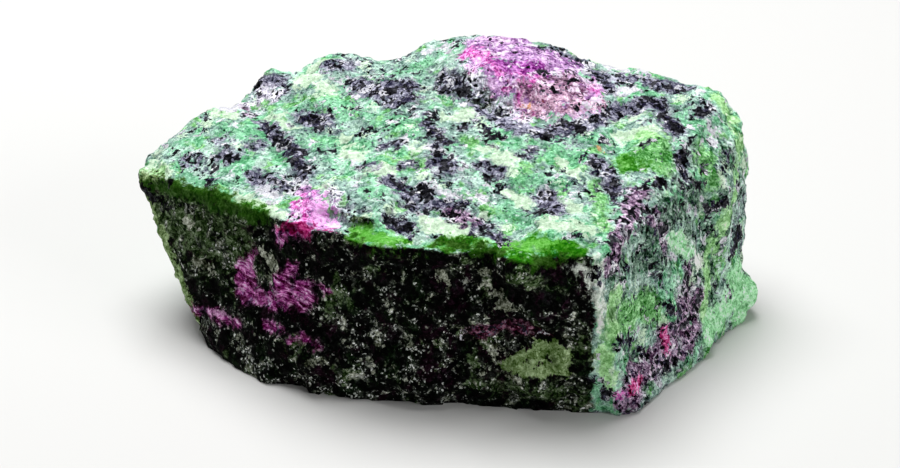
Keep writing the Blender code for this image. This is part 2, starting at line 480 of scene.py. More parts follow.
# %% The smoky trough, and ash
lay(
    "smoky",
    (1.6, (-1, 13.5, 31), (2.5, 9.5, 30), (4.5, 8, 29.3)),
    (1.7, (4.5, 8, 29.3), (8, 3.8, 28.9), (12, 1.5, 28.4)),
    (1.7, (12, 1.5, 28.4), (16.5, 3, 28.6), (22.5, 7.5, 28.9), (27.5, 8.5, 29.5)),
    (1.5, (27.5, 8.5, 29.5), (29.5, 3, 28.5)),
    (1.3, (-0.5, 11, 30.5), (3, 10, 30)),
    (1.5, (13, 18.2, 32.9), (17.6, 17, 31.8), (20.3, 14, 30.7)),
    (1.2, (20.6, 14.6, 30.7), (21, 11, 30.2)),
    (1.3, (22, 14.3, 30.4), (25, 13.5, 30.4)),
    (1.4, (26.5, 12.8, 30.3), (31.5, 12.2, 29.6)),
)
lay(
    "ash",
    (1.6, (3.4, 11.6, 32.2), (5, 10.2, 30.7), (7.9, 7.6, 29.7)),
    (1.3, (7.9, 7.6, 29.7), (10, 5.2, 28.9)),
    (1.3, (-26.5, 18.8, 26), (-23.5, 17.5, 26.5)),
    (0.8, (-28, 17, 25.2), (-26, 14.5, 25.2)),
    (1, (-15.2, -9.6, 25.2), (-14.3, -12.3, 24.6)),
)

# %% Smoky patches on the left and the right of the top
lay(
    "smoky",
    (1.3, (-16.5, 19.5, 29.5), (-14, 20, 29)),
    (1.6, (-12.5, 16, 28.5), (-11, 13, 28.5)),
    (2.3, (-9, 12.5, 29.5), (-6, 12, 30)),
    (1.7, (-7.5, 10, 29), (-5.5, 10, 29.5)),
    (1.9, (-19, 10, 26.5), (-17, 8.5, 26.5)),
    (1.1, (-3, 4.5, 29), (-2, 2, 28.5), (-0.8, -0.2, 28)),
    (1.5, (-1.5, -4, 27), (0, -5.5, 27)),
    (1, (-8.5, 0, 27.5), (-7, 0, 28)),
    (0.9, (-11.5, -3.5, 26.5), (-10, -3.5, 26.5)),
    (0.9, (-6, -4.5, 27), (-5, -4.5, 27)),
    (1.3, (-7.5, -7.5, 26), (-6, -10, 25.5), (-4.5, -12, 25.3)),
    (1.4, (-3, -9.5, 25.9), (-2, -12, 25.5), (1.5, -12, 25.3)),
    (1.2, (-7.5, -15, 24.5), (-5, -16, 24)),
    (1.2, (-25.5, 11, 25.5), (-23, 6.5, 25.5), (-20, 1.5, 25.5), (-19, -4, 25)),
    (1.6, (-26.5, 21, 26.5), (-23.5, 20, 27)),
    (1, (-30.5, 7, 24.5), (-29.5, 2.5, 24)),
    (1, (-26.5, 5, 25), (-25, 5, 25)),
    (1, (-35.5, 5, 22.5), (-34, 4, 23)),
    (1.3, (-25.5, -1.5, 23.5), (-21, -5.5, 24)),
)
lay(
    "smoky",
    (1.1, (4.5, -5, 27), (6, -5.5, 26.5)),
    (1.8, (12.5, -10, 25.5), (13, -14, 26)),
    (1, (10, -3, 27.5), (11, -1.5, 28)),
    (1.5, (19, -4, 27.5), (20, -5.5, 27), (21, -9, 25.5)),
    (1.1, (3.5, -16, 24.5), (6.5, -18.5, 24)),
    (1.2, (33.5, 6.5, 29), (34.5, 7.5, 29)),
    (1.2, (30, -1.5, 27), (30.5, -4, 25.5)),
    (1.1, (31.5, -7, 15.5), (31.5, -7.5, 12.5)),
)

# %% [markdown]
# The amphibole is black, and makes flecks and clots a few millimetres long. The large ones
# are listed one by one: clots and streaks across the top, and upright ones on the blunt end.
# The material adds the small ones.

# %% Amphibole on the left of the top and at its tip
lay(
    "black",
    (0.5, (-9.5, 19.5, 29.5), (-8.5, 18.5, 29)),
    (0.6, (-13.5, 11.5, 27.5), (-12, 9.5, 28)),
    (0.6, (-16.4, 19.7, 29.5), (-14.6, 19.5, 29.6)),
    (0.8, (-6.5, 13.5, 30), (-5, 11, 30)),
    (0.6, (-6, 8.5, 29.5), (-5, 9.5, 30)),
    (0.9, (-19.5, 10.5, 26.5), (-17.5, 9.5, 26.6)),
    (0.7, (-0.5, 11.5, 31), (-0.5, 11, 30.5)),
    (0.6, (-3, 5, 29), (-2.5, 3.5, 28.5)),
    (0.7, (-2, 2.5, 28.5), (-1.5, 0.5, 28.5)),
    (1, (-1.5, -0.5, 28), (0.5, -0.5, 28)),
    (0.9, (-8.2, 0.8, 27.5), (-7.5, -0.5, 27.5)),
    (0.5, (-5, -3.5, 27), (-4, -4, 27)),
    (1, (-1, -3.5, 27.5), (-0.5, -6, 27)),
    (1.2, (-7.5, -15, 24.5), (-5, -16, 24)),
    (1, (-6.8, -7.5, 26), (-6, -9.5, 25.7)),
    (0.8, (-2.8, -8.8, 26), (-2.4, -10.5, 25.7)),
    (0.8, (-0.3, -12, 25.3), (2, -12.3, 25.2)),
    (0.5, (-17.5, 2, 26), (-17, 1, 26)),
    (0.6, (-33.5, 15.5, 24), (-33.5, 14.5, 24)),
    (0.6, (-36.5, 3.5, 22), (-36, 2.5, 22)),
    (0.6, (-39.5, 3.5, 20.5), (-37.5, 1.5, 21.5)),
    (0.8, (-31.5, 0, 22.5), (-31, -2, 23)),
    (0.6, (-22.5, -6, 24.5), (-21, -5.5, 24)),
    (0.5, (-23, 19.5, 26.8), (-22.5, 18.5, 26.5)),
    (0.8, (-25, 10.5, 25.5), (-22.5, 5.5, 25)),
    (0.9, (-21.5, 4, 25.5), (-19.3, -2.5, 25.2)),
    (0.6, (-26, 5, 25), (-25.5, 4.5, 25)),
)
lay(
    "black",
    (1.2, (-41.5, 4.5, 18), (-38.5, 3.5, 17.5)),
    (1.1, (-41, 3.8, 17.6), (-38.3, 1.2, 17.2)),
)

# %% Amphibole on the right of the top and on the blunt end
lay(
    "black",
    (0.4, (0.5, 12, 31.5), (1.5, 11.5, 31.5)),
    (0.6, (2, 11, 30.5), (3, 9.5, 30)),
    (0.8, (1.5, 3, 28.5), (4.5, 3, 28.5)),
    (1.1, (5, 2, 28.5), (6, 0.5, 28)),
    (0.6, (9.5, -3.5, 27.5), (11, -2, 28)),
    (0.6, (4.5, -4.5, 27), (6, -5, 26.5)),
    (0.7, (5.5, -7, 26), (6.5, -8, 26)),
    (0.3, (13.5, -5, 27), (14.5, -4.5, 27)),
    (0.5, (15, -5, 26.5), (15, -6.5, 27)),
    (0.7, (18, -3.5, 27.5), (19, -5.5, 27)),
    (0.8, (12.5, -10, 25.5), (14.5, -10, 26.5)),
    (0.5, (12.5, -12, 25.5), (13, -14.5, 26)),
    (0.9, (3.8, -16.5, 24.5), (5.2, -17.5, 24)),
    (0.7, (6, -18, 24.2), (7.2, -19.2, 24)),
    (0.4, (14.5, -20, 25), (16, -19.5, 25)),
    (0.5, (20.5, 1, 28), (20.5, 0.5, 28)),
    (0.9, (21, -7.5, 26), (21, -11, 25.5)),
    (0.7, (12, 1, 28.5), (14, 0, 28.5)),
    (0.7, (14.5, 3.5, 29), (16.5, 3.5, 28.5)),
    (0.7, (19.5, 5, 29), (21, 7, 29)),
    (0.7, (23.5, 8, 28.5), (25.5, 8, 29.5)),
    (0.8, (27, 8.5, 29.5), (29, 7.5, 29)),
    (0.9, (29, 5, 29), (29.5, 3, 28.5)),
    (0.7, (33.5, 6.5, 29), (34.5, 7.5, 29)),
    (0.8, (24.5, -8.5, 26), (26, -8, 26), (27.5, -7, 25.5)),
    (0.8, (30, -1.5, 27), (30.5, -4, 25.5)),
    (0.5, (20.4, 13.5, 30.7), (21, 11.5, 30.2)),
    (0.5, (27, 12.8, 30.3), (30, 12.4, 29.8)),
    (0.6, (25, -0.9, 28), (26, -1.3, 28)),
)
lay(
    "black",
    (0.7, (22, -18.5, 21), (22.5, -19, 19.5)),
    (0.8, (18.5, -23.5, 22), (19, -23.5, 20)),
    (0.7, (26.5, -12.5, 22.5), (28, -10.5, 17.5)),
    (0.7, (33.5, -0.5, 24.5), (33.5, -2, 23.5)),
    (0.8, (37, 3, 24.5), (36, 0, 24)),
    (0.9, (34, -2.5, 18.5), (35.5, -2.5, 20), (36.5, -2, 20)),
    (1.4, (39, 3, 12.5), (38, 0.5, 11)),
    (0.5, (33, -3.5, 18), (32.5, -5, 16.5)),
    (0.9, (28.5, -13, 10.5), (30.5, -11, 8)),
    (0.7, (30.5, -10, 7.5), (29, -12.5, 7)),
    (0.9, (21.5, -22.5, 11), (23.5, -18.5, 8.5)),
    (0.7, (24.5, -17.5, 7), (27.5, -15.5, 3.5)),
    (0.8, (27, -17.5, 3), (28.5, -14.5, 2.5)),
    (1.1, (18.5, -23, 5), (20, -22, 3)),
    (0.6, (37.5, -1.5, 6.5), (38, -1.5, 5)),
)

# %% [markdown]
# The back gets the same minerals in clots: smoky ones with a black core, small black ones,
# and a few of ruby, each in a rim of lilac.

# %% Clots of the dark minerals and ruby on the back
scatter_on_back("smoky", size=7.0, share=0.40, radius=1.3, salt=40)
scatter_on_back("black", size=7.0, share=0.40, radius=0.7, salt=40)
scatter_on_back("black", size=4.0, share=0.20, radius=0.5, salt=42)
scatter_on_back("ruby", size=13.0, share=0.16, radius=1.6, salt=44)
scatter_on_back("lilac", size=13.0, share=0.16, radius=2.3, salt=44)

# %% [markdown]
# Clear green mica shows along the lip of the front edge. It is lime green, partly its own
# colour and partly painted light shining through the thin edge, brighter with that painted
# light where it is thinnest, and moss green with painted shade where it goes down on to the
# dark front. A large verdant crystal stands at the right corner, and part of it is darkened
# with painted shade.

# %% The clear greens
# The lip's lime green is its own colour and partly painted light shining through it.
lay(
    "lime",
    (0.7, (-26.5, -7.5, 23), (-24, -10, 23)),
    (1.2, (-11.5, -16, 24), (-10, -17.5, 24), (-8, -18.5, 23.5)),
    (0.8, (-12.5, -17.5, 23.6), (-8.3, -19.7, 24), (-5.5, -18.7, 23.5)),
    (1, (-0.5, -18.7, 23.6), (2.5, -18.5, 23.6), (3.8, -19.8, 23.6)),
    (0.6, (-2.7, -19.2, 23.4), (0.5, -20.2, 23.5), (3.6, -20.4, 23.5), (6.1, -21.3, 23.7)),
    (0.9, (6.1, -21.3, 23.7), (8.6, -22.8, 24.2), (11.7, -22.6, 24), (16, -22.2, 24.4)),
    (0.9, (8, -21.7, 24.2), (13, -21.7, 24.3)),
    (1.1, (6.5, -19.8, 24), (10, -20.2, 24.4)),
    (1.2, (10.5, -19.5, 24.5), (12.5, -21, 24.5), (15, -21.5, 24.5)),
    (1, (6.5, -22, 24), (8.5, -23, 24), (10.5, -23.3, 23.5)),
)
lay("verdant", (2.3, (23.6, -3.4, 27), (27.2, -2.4, 27.9)))
# Painted shade on part of the verdant crystal.
lay("shaded", (1.4, (21.8, -2.8, 26.9), (24.6, -5.2, 26.8)))
# Painted light: where the lip is thinnest it is painted brighter, as if lit through.
lay(
    "clear",
    (1.8, (-11.5, -16.5, 23.8), (-8.3, -19, 24)),
    (1, (8, -20, 24.3), (11.5, -20.4, 24.5)),
)
# Moss green at the lip's foot: dark green mica and painted shade.
lay(
    "moss",
    (1.3, (-40, 4, 19), (-36, 0, 21), (-32, -3, 21.5)),
    (1.3, (-32, -3, 21.5), (-27.5, -7.5, 22), (-24, -10.7, 22.2)),
    (0.5, (-12.5, -15.8, 22.9), (-10, -19.5, 22.9), (-3, -20.7, 22.8)),
    (1, (-0.5, -19, 23), (3.6, -20, 23.2), (7, -21.2, 23.4)),
    (0.9, (10.5, -22.7, 23.5), (14, -23, 23.5)),
    (0.7, (-1.5, -18.6, 23.4), (1.5, -18.6, 23.3), (5, -19.9, 23.6)),
)

# %% [markdown]
# The cloudy greens make broad zones. A pale apple green rib stands on the blunt end, with
# a crystal of the same colour on the front and a rim down the front's left edge. Deeper
# green and leaf green lie between them, and the foot of the blunt end is jade green sugar.

# %% The cloudy greens of the front and the blunt end
lay(
    "apple",
    (1.5, (12, -21.2, 8.9), (13.4, -22, 8.7), (14, -22.7, 6.9)),
    (1.3, (7.9, -21.2, 6.9), (13.8, -22.6, 6.8)),
    (0.9, (12, -21.2, 8.6), (8.6, -21, 7.8)),
)
lay(
    "apple",
    (1.3, (-40.8, 4.6, 16.1), (-39.3, 2.4, 13.1), (-37.6, -0.5, 10.1)),
    (1.2, (-37.6, -0.5, 10.1), (-35.4, -3.2, 5.4), (-34.6, -4.2, 3.1)),
    (1.2, (-41.8, 5, 19.8), (-39, 4.2, 20.5)),
)
lay(
    "apple",
    (1.2, (24.8, 1.2, 28.5), (27.2, 0.2, 28.7)),
    (1.2, (20.5, -21, 16.5), (21, -22, 14.5), (21, -22.5, 12)),
    (0.9, (19.5, -23.5, 10.5), (20, -23, 7.5), (20, -23.2, 4)),
    (1, (36, 10.3, 29.5), (37.8, 8.5, 27.3), (38.9, 6.1, 23.7)),
    (0.8, (39, 6, 23), (38, 0.5, 20), (36.5, -3, 17.5)),
    (0.9, (36.5, -3, 17.5), (35, -3, 14.5), (34.5, -4.5, 10), (34, -6.5, 4.5)),
)
lay(
    "leaf",
    (1.1, (19.1, -8.5, 26.3), (19.2, -17.5, 25.2)),
    (1.7, (27.3, -1, 28.4), (27.3, -4.5, 27)),
    (2.2, (22, -19.5, 13), (25.5, -15.5, 12), (26.5, -14.5, 10.5)),
    (1.5, (20.4, -23, 11.2), (20.8, -22.5, 14)),
    (1.5, (33.5, 0.5, 26.5), (34.5, -1.5, 23)),
)
lay(
    "deep",
    (2.2, (25.5, -13.5, 22), (29.5, -8.5, 22)),
    (1.8, (24, -15.4, 19), (27.5, -11, 17)),
    (1.6, (35, -2.5, 13.5), (37, -2, 17), (37.5, -1.5, 20)),
    (1.5, (31, -8, 11.5), (30.5, -10, 9)),
    (1.5, (31.5, -4, 25), (33, -3.5, 21)),
)
lay(
    "jade",
    (3, (39.5, 0, 6), (41, 1, 3.5), (40.5, 0, 0.5)),
    (2.2, (38.5, -1, 4.5), (36.5, -4, 3), (34.5, -7, 2.5)),
    (1, (29.5, -8.5, 18), (31.5, -7, 15)),
)

# %% [markdown]
# Emerald zones lie about the top. On the back they are strewn.

# %% Emerald zones
lay(
    "emerald",
    (2, (-17, 13.5, 28), (-14, 9, 27.5)),
    (1.8, (-17, 4.5, 26), (-11, 1, 27)),
    (2, (-8.5, 5.5, 28), (-4, 2.5, 28.5)),
    (1.7, (16.5, 2, 28.5), (21.5, 0.5, 27.8)),
    (1.8, (9, -7.5, 26.5), (14, -9, 26.5)),
    (1.7, (11, -2, 28), (16.5, -3, 27)),
    (1.6, (-7.5, 15.5, 30.2), (-3.5, 18.5, 31)),
    (1.3, (-31, 9.5, 25), (-29, 8, 25)),
    (1.4, (-27, 7.5, 25), (-24, 6.5, 25)),
    (1.4, (-20, 3.5, 26), (-17.5, 2, 26)),
    (1.1, (-1.5, -9.5, 26), (2.5, -10.5, 25.5)),
    (1.3, (7, -13.5, 25), (10, -16, 25)),
    (2.2, (32, 6, 28.5), (33, 2, 26)),
)
scatter_on_back("emerald", size=9.0, share=0.35, radius=1.8, salt=46)

# %% [markdown]
# Lemon-white grains, here called cream, brighten the top, and a few lie on the blunt end.

# %% Cream grains
lay(
    "cream",
    (1.5, (-20, 19.5, 27.5), (-16.5, 15.5, 27.5)),
    (1.2, (-20, 20.5, 28.2), (-17, 21.5, 29.5)),
    (1.2, (-14, 1, 26), (-12, -1, 26.5)),
    (1.5, (-9.2, -4.8, 27), (-7.8, -5.7, 26.5)),
    (0.8, (-14.5, 4, 26.5), (-13.5, 4, 26.5)),
    (0.8, (-4.5, -0.5, 27.5), (-2.5, -1.5, 28)),
    (1.4, (-3, -15.5, 24.5), (0.5, -16.5, 24), (3, -16.5, 24.2)),
    (0.9, (-24.5, 12.5, 25), (-20.5, 7.5, 26)),
    (1.2, (-32.5, 15.5, 24.5), (-30, 14, 24.5)),
    (0.9, (-19, -6, 24.5), (-17, -8, 25)),
    (1.2, (-27, -6, 22.8), (-22, -11.5, 23.6)),
    (1.3, (-40.5, 6, 20.5), (-38, 3.5, 20.9)),
)
lay(
    "cream",
    (1.2, (0, 5.5, 29), (3, 6.5, 29)),
    (1.5, (6.8, -3.2, 27.5), (7.7, -3.8, 27.5)),
    (0.7, (4, -1.5, 27.5), (5.5, -1.5, 27.5)),
    (0.9, (14.5, -3.5, 27), (16.5, -7, 27)),
    (1.1, (8, -10, 25.5), (9.5, -11.5, 25.5)),
    (1.1, (14, -12.5, 26), (16, -14, 25.5)),
    (1.2, (12, -17.3, 25.8), (17.5, -18.3, 25.5)),
    (0.9, (20, 5, 29), (25.5, 6, 28.5)),
    (1.1, (22.5, 1.8, 28), (27, 2.2, 28.7)),
)
lay(
    "cream",
    (1, (29, -8.5, 18), (31.5, -7, 15.5), (33, -5, 12.5)),
    (0.9, (18.5, -23.5, 18), (19, -23.5, 13.5)),
    (0.7, (17.5, -23.5, 23.5), (19, -23, 23)),
    (0.6, (20.5, -21.5, 18.5), (20, -22.8, 11.5)),
)
scatter_on_back("cream", size=7.5, share=0.30, radius=1.0, salt=48)

# %% [markdown]
# Pure white grains lie among the cream ones. A milky rim runs down the upright corner
# between the front and the blunt end, and the front has a few dove grey flakes.

# %% White grains, the milky rim and dove grey flakes
lay(
    "white",
    (0.9, (-2.5, -1, 28), (-1.5, -2, 28)),
    (0.9, (-2, -4.5, 27), (-1, -6, 27)),
    (1, (-24.5, -3.5, 23.5), (-22.5, -7.5, 24)),
    (0.8, (-2, -9.5, 25.8), (0.5, -10, 25.8)),
    (0.8, (-14.5, 20.5, 30), (-12.5, 21, 29.5)),
    (0.7, (2.5, -10.5, 26), (4, -11, 25.5)),
    (0.8, (-15, -13.5, 24.2), (-14, -13.8, 24.2)),
    (1.3, (-30.6, 16.8, 24.2), (-28.2, 16.6, 24.9)),
    (1.2, (22, 11.2, 29.9), (24.2, 11.4, 29.9)),
    (0.8, (21.5, 17.3, 30.8), (24, 16, 30.8), (26.5, 14.8, 30.7)),
    (0.8, (-3.5, 21, 30.8), (0, 21.5, 31.7)),
)
lay(
    "rim",
    (0.9, (18.8, -23.2, 23.2), (18.6, -23.3, 20.3), (19.3, -22.8, 16.3)),
    (0.6, (19.3, -22.8, 16.3), (19, -23.2, 13.6)),
    (0.7, (14.3, -23.1, 22.8), (16.4, -23.2, 22.6), (17.7, -23.3, 21.4), (18.3, -23.5, 20.3)),
)
lay(
    "dove",
    (0.6, (-1, -19.7, 19.5), (-0.5, -20.2, 18.3)),
    (0.6, (3, -20.3, 19), (3.2, -20.5, 18)),
    (0.7, (4.6, -20.6, 20.2), (5.3, -20.4, 17.2)),
    (0.8, (6.2, -21.4, 16.2), (7.3, -21.6, 15.8)),
    (0.7, (4.5, -21.5, 6), (8.5, -22.2, 5)),
    (0.8, (5.4, -20.4, 8.4), (7.3, -21.3, 6)),
    (0.8, (-33.5, -3.8, 12), (-31.8, -4.4, 11.2)),
    (0.5, (-34.8, -1.9, 16.6), (-33.8, -2.6, 16.4)),
    (0.4, (-25.4, -10.2, 9.6), (-24.9, -10.7, 9.9)),
    (0.9, (-24, -11.7, 17.6), (-22.9, -12.7, 16.4), (-23.3, -12, 14.2)),
)

# %% [markdown]
# The front broke along a layer that is rich in amphibole, so it is dark, and its colours
# are darkened further with painted shade, for the shade that it falls into. Its outline
# could be drawn with streaks, but a mask is simpler: it compares the direction of each of
# the stone's sides with the front's own, and ends at the upright corner. The lump of ruby
# on the front edge is taken out of the mask, and painted shade at the lump's foot is put
# back. The blunt end has a mask of its own.

# %% The dark front and the blunt end
FRONT_WAY = np.array((-0.22, -0.97, 0.0))
FRONT_LIMIT = 0.52
UNDERCUT = 0.7
FRONT_SHARPNESS = 6.0
CORNER_X = 18.3
RUBY_LUMP = np.array((-15.8, -11.3, 24.4))
LUMP_RADIUS = 2.6
# Painted shade at the foot of the ruby lump.
PAINTED_SHADE_BELOW_LUMP = (1.3, (-18, -16.6, 23.3), (-13.5, -17.6, 23.7))
END_LIMIT = 0.45
END_SHARPNESS = 4.0
END_FRAY = 0.3
END_FRAY_SIZE = 3.0
front_limit = FRONT_LIMIT + UNDERCUT * np.minimum(side_normal[:, 2], 0)
facing = FRONT_SHARPNESS * (side_normal @ FRONT_WAY - front_limit)
left_of_corner = CORNER_X - bent[:, 0]
off_lump = np.linalg.norm(bent - RUBY_LUMP, axis=1) - LUMP_RADIUS
front = np.minimum.reduce([facing, left_of_corner, off_lump])
# Painted shade: the foot of the ruby lump is added to the dark front.
fields["front"] = np.maximum(front, depth_in([PAINTED_SHADE_BELOW_LUMP]))
end_fray = END_FRAY * smooth_noise(body / END_FRAY_SIZE, salt=14)[:, 0]
fields["end"] = END_SHARPNESS * (side_normal[:, 0] - END_LIMIT) + end_fray
print(f"The front takes {(fields['front'] > 0).mean():.1%} of the skin")

# %% [markdown]
# Olive green shows through the dark front at its far left, under the lip, beside the
# upright corner and at its foot. Pale crumbs crowd along the foot and at the butterfly's
# right.

# %% Olive zones and crumbs on the front
lay(
    "olive",
    (5.5, (-40, 2, 16), (-29, -7, 17)),
    (2, (-38, -1, 10.5), (-32, -6, 11.5)),
    (2, (16.7, -22.6, 12.4), (17.2, -23, 9)),
    (1.8, (8.5, -23.4, 21.2), (13.1, -23.1, 20.4)),
    (2.6, (7, -20.7, 3.1), (11.4, -22.9, 3.3), (18, -21.9, 1.1)),
)
lay("crumbs", (4.5, (-24, -12, 2), (-2, -20, 2.5)), (3, (-12, -18, 9), (-2, -20, 9)))

# %% [markdown]
# ## Broken crystals
# The break runs through crystals of many sizes, and each leaves a small flat face that
# leans its own way. Two sizes of crystals and a little smooth noise are added to the skin
# along its normals. The layers of the rock lie along the front, so the crystals are thin
# from front to back. Real relief catches the light at the edges, which a bump cannot do.
# Last, the skin is stretched by a hair to fill the solid's own box, and its foot is laid
# flat again.

# %% Work the relief into the skin
LAYER_TURN = math.radians(-8.0)
# Each row has the crystals' size in millimetres, how far they lean, and how high they step.
CRYSTALS = ((2.6, 0.11, 0.10), (1.2, 0.15, 0.08))
CRYSTAL_SALT = 20
CRYSTAL_SHAPE = np.array((1.25, 0.75, 1.1))
FINE_SIZE = 0.55
FINE_HEIGHT = 0.05
SUNK = 0.06
FLAT = 0.01


def along_layers(points):
    """The points turned about Z, so that X and Z lie in the layers and Y across them."""
    cos, sin = math.cos(LAYER_TURN), math.sin(LAYER_TURN)
    turn = np.array(((cos, -sin, 0), (sin, cos, 0), (0, 0, 1)))
    return points @ turn


def relief(points):
    """For each size: size * lean * (the crystal's lean . the way from its seed) + step *
    (the crystal's height). Smooth noise is added, and all of it is sunk a little."""
    height = np.full(len(points), -SUNK)
    for turn, (size, lean, step) in enumerate(CRYSTALS):
        away, traits = crystals(points / (CRYSTAL_SHAPE * size), CRYSTAL_SALT + 2 * turn)
        height += 2 * size * lean * ((traits - 0.5) * away).sum(-1)
        height += step * (traits[:, 0] - traits[:, 1])
    return height + FINE_HEIGHT * smooth_noise(points / FINE_SIZE, salt=31)[:, 0]


lift = relief(along_layers(body))
# The relief's height is kept as the field hollow, for the painted shade in its low parts.
fields["hollow"] = lift - lift.mean()
raised = body + lift[:, None] * normals_of(body)
lowest, highest = raised.min(axis=0), raised.max(axis=0)
stretch = (high_corner - low_corner) / (highest - lowest)
final_points = low_corner + (raised - lowest) * stretch
final_points[skin_points[:, 2] < FLAT, 2] = 0
print(f"The relief runs from {lift.min():.2f} to {lift.max():.2f} mm")

# %% [markdown]
# So far the stone is only arrays. They become one mesh, with each depth as an attribute of
# its points, which keeps the minerals on the stone wherever it goes. The piece rides with
# the model's one body and stands for its one solid.

# %% Make the piece
stone = new_mesh("stone_surface", final_points, squares)
for name, depth in fields.items():
    attribute = stone.data.attributes.new(name, "FLOAT", "POINT")
    attribute.data.foreach_set("value", depth.astype(np.float32))
stone.data.shade_smooth()
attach(stone, "root")
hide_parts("stone")
print("Triangles:", 2 * len(squares), "and fields:", len(fields))

# %% [markdown]
# ## Shader maths as plain expressions
# A material is a graph of nodes, and a long sum in nodes is hard to read. The class below
# wraps one output of a node. Adding or multiplying two of them adds a Math node and wraps
# its result, so a mask can be written as the sum that it is.

# %% A socket that can be added and multiplied
class Shade:
    """One output of a node: something that changes over the surface."""

    def __init__(self, recipe, socket):
        self.recipe = recipe
        self.socket = socket

    def beside(self, name):
        """Another output of the same node."""
        return Shade(self.recipe, self.socket.node.outputs[name])

    def maths(self, operation, first, second):
        """Adds a Math node, and gives its result."""
        return self.recipe.node("Math", {"operation": operation}, {0: first, 1: second})

    def __add__(self, other):
        return self.maths("ADD", self, other)

    def __radd__(self, other):
        return self.maths("ADD", other, self)

    def __sub__(self, other):
        return self.maths("SUBTRACT", self, other)

    def __rsub__(self, other):
        return self.maths("SUBTRACT", other, self)

    def __mul__(self, other):
        return self.maths("MULTIPLY", self, other)

    def __rmul__(self, other):
        return self.maths("MULTIPLY", other, self)


# %% [markdown]
# Any other node comes from one method, which sets the node's settings first and then its
# sockets. The rest of the class is the few patterns and masks that a rock needs. A step
# turns a pattern into a mask, and where it starts and ends says how much of the stone the
# mask takes. Noise passes 1 on about a sixth of the surface, and shards on a fifth.

# %% A recipe of nodes
NOISE_SPREAD = 13.0
EVEN_SPREAD = 12**0.5
PICK_SOFTNESS = 0.7
GRAIN_SOFTNESS = 0.05


class Recipe:
    """A material's graph of nodes."""

    def __init__(self, name):
        self.material = bpy.data.materials.new(name)
        self.material.use_nodes = True
        self.tree = self.material.node_tree
        self.tree.nodes.clear()

    def node(self, kind, settings=None, sockets=None, out=0):
        """Adds a node: its settings, then its sockets' values or links. Gives one output."""
        made = self.tree.nodes.new("ShaderNode" + kind)
        for name, value in (settings or {}).items():
            setattr(made, name, value)
        for name, value in (sockets or {}).items():
            if isinstance(value, Shade):
                self.tree.links.new(value.socket, made.inputs[name])
            else:
                made.inputs[name].default_value = value
        return Shade(self, made.outputs[out])

    def field(self, name):
        """A depth that the skin keeps at each of its points."""
        return self.node("Attribute", {"attribute_name": name}, out="Fac")

    def noise(self, place, scale, detail=2.0, rough=0.6):
        """Smooth noise with a mean of 0, which is rarely under -2 or over 2."""
        sockets = {"Vector": place, "Scale": scale, "Detail": detail, "Roughness": rough}
        return (self.node("TexNoise", {}, sockets) - 0.5) * NOISE_SPREAD

    def shards(self, place, scale):
        """Three numbers for the crystal that a point lies in, from -1.7 to 1.7 each."""
        cell = self.node("TexVoronoi", {}, {"Vector": place, "Scale": scale}, out="Color")
        first = self.node("SeparateColor", {}, {0: cell})
        return [(part - 0.5) * EVEN_SPREAD for part in (first, first.beside(1), first.beside(2))]

    def step(self, value, low, high):
        """0 below low and 1 above high, with a smooth step between. Where low is the
        higher of the two, the mask is turned round."""
        sockets = {"Value": value, "From Min": low, "From Max": high}
        return self.node("MapRange", {"interpolation_type": "SMOOTHSTEP"}, sockets)

    def blend(self, first, second, mask):
        """A colour between two. A Mix node's sockets of each kind go by number, as they
        share their names."""
        sockets = {0: mask, 6: first, 7: second}
        return self.node("Mix", {"data_type": "RGBA"}, sockets, out=2)

    def between(self, first, second, mask):
        """A number between two."""
        sockets = {0: mask, 2: first, 3: second}
        return self.node("Mix", {"data_type": "FLOAT"}, sockets)

    def vectors(self, operation, first, second):
        """Maths on places or colours, part by part."""
        return self.node("VectorMath", {"operation": operation}, {0: first, 1: second})

    def warped(self, place, swirl, reach):
        """A place moved by a swirl of noise, by up to that many millimetres."""
        return self.vectors("ADD", place, self.vectors("MULTIPLY", swirl, (reach,) * 3))

    def shaped(self, place, shape):
        """A place whose patterns are drawn out along each axis by 1 / shape."""
        return self.node("Mapping", {}, {"Vector": place, "Scale": shape})

    def grains(self, place, scale, share, radius, fray):
        """A mask of rounded grains. That share of the cells holds a grain each, of that
        radius in cells, and fray roughens its outline."""
        cell = self.node("TexVoronoi", {}, {"Vector": place, "Scale": scale})
        pick = self.node("SeparateColor", {}, {0: cell.beside("Color")})
        size = (radius + 1) * self.step(pick, share, PICK_SOFTNESS * share) - 1
        return self.step(size - cell + fray, -GRAIN_SOFTNESS, GRAIN_SOFTNESS)

    def finish(self, sockets):
        """Ends the graph in a Principled shader, and gives the material."""
        surface = self.node("BsdfPrincipled", {}, sockets)
        output = self.tree.nodes.new("ShaderNodeOutputMaterial")
        self.tree.links.new(surface.socket, output.inputs["Surface"])
        print(f"{self.material.name} has {len(self.tree.nodes)} nodes")
        return self.material


# %% [markdown]
# Minerals are laid over each other like coats of paint, each through a mask. A coat carries
# three things along: its colour, how strongly its grains differ, and how many black and
# white grains show in it. The grain itself is added once, at the end, in all three channels
# alike. That is done in the numbers of a screen, where steps of light look even.

# %% Coats of mineral
CHALK = 0.97
SCREEN_GAMMA = 2.2


